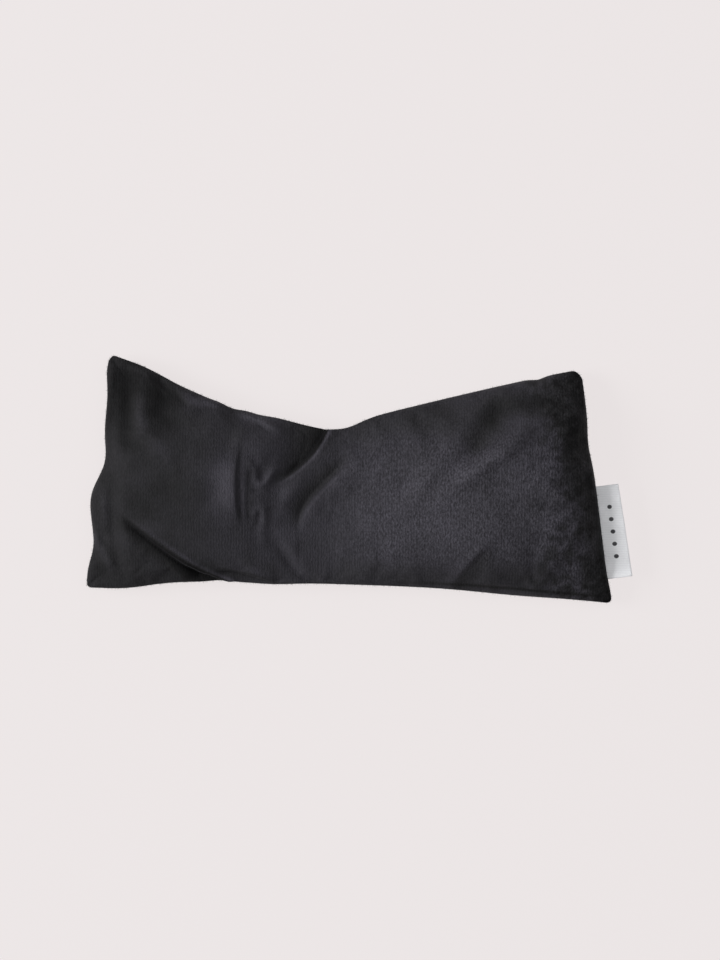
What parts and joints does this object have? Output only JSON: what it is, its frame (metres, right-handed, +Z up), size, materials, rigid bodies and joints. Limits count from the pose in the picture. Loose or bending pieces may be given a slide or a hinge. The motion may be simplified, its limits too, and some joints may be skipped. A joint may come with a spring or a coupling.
{
  "type": "eye pillow",
  "caption": "Soft oblong eye pillow: plush cover with an overlapped back opening, an inner pouch of loose seed that folds at a pinched waist, and a blank folded label in the end seam.",
  "frame": {"origin": "middle of the underside of the whole object's box, label included, on the surface that the pillow lies on", "axes": "+X along the pillow's length towards the end with the label, +Y across the width towards the seam with the waist notch, +Z up from the surface to the front of the pillow"},
  "size_m": [0.2432, 0.1114, 0.0282],
  "materials": {
    "plush_black": "short plush pile, soft sheen",
    "thread_black": "spun polyester thread",
    "pouch_calico": "plain woven cotton",
    "thread_cream": "cotton thread",
    "flax_seed": "smooth dry seed",
    "label_satin": "woven satin ribbon"
  },
  "bodies": {
    "right_half": {"cover_front_right": "plush_black", "cover_back_inner_right": "plush_black", "cover_back_outer": "plush_black", "cover_seam_thread_right": "thread_black", "inner_hem_thread": "thread_black", "outer_hem_thread": "thread_black", "pouch_front_right": "pouch_calico", "pouch_back_right": "pouch_calico", "pouch_seam_thread_right": "thread_cream", "seed_fill_right": "flax_seed", "label_tail": "label_satin"},
    "left_half": {"cover_front_left": "plush_black", "cover_back_inner_left": "plush_black", "cover_seam_thread_left": "thread_black", "pouch_front_left": "pouch_calico", "pouch_back_left": "pouch_calico", "pouch_seam_thread_left": "thread_cream", "seed_fill_left": "flax_seed"},
    "label": {"side_label": "label_satin"}
  },
  "joints": [
    {"name": "fold", "type": "hinge", "parent": "right_half", "child": "left_half", "pos_m": [-0.0148, 0, 0.0156], "axis": [0, 1, 0], "range_deg": [0, 150]},
    {"name": "label_flex", "type": "hinge", "parent": "right_half", "child": "label", "pos_m": [0.11034, -0.0241, 0.009], "axis": [0.1229, -0.9924, 0], "range_deg": [-50, 75], "stiffness_Nm_per_rad": 0.0002}
  ]
}
